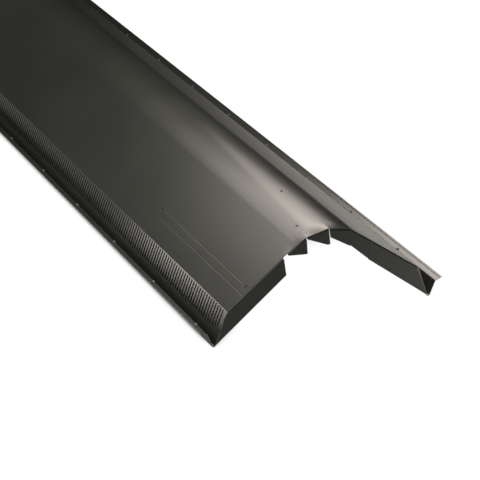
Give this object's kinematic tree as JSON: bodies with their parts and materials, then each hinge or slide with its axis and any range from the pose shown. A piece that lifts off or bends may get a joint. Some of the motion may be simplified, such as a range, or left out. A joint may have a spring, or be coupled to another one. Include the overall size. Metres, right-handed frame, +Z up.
{
  "type": "ridge vent",
  "caption": "Long bent-sheet ridge vent: rounded crown, two sloping panels, rows of air slots low on each side, rising wind baffles and folded end tabs.",
  "frame": {"origin": "middle of the vent's length and width, on the floor line under the two trough folds it stands on", "axes": "+Y along the ridge, away from the end seen in the picture; +X across to the right of that view; +Z up"},
  "size_m": [0.2858, 1.2192, 0.1062],
  "materials": {
    "paint": "satin charcoal coil paint"
  },
  "bodies": {
    "root": {"vent_sheet": "paint"}
  },
  "joints": []
}
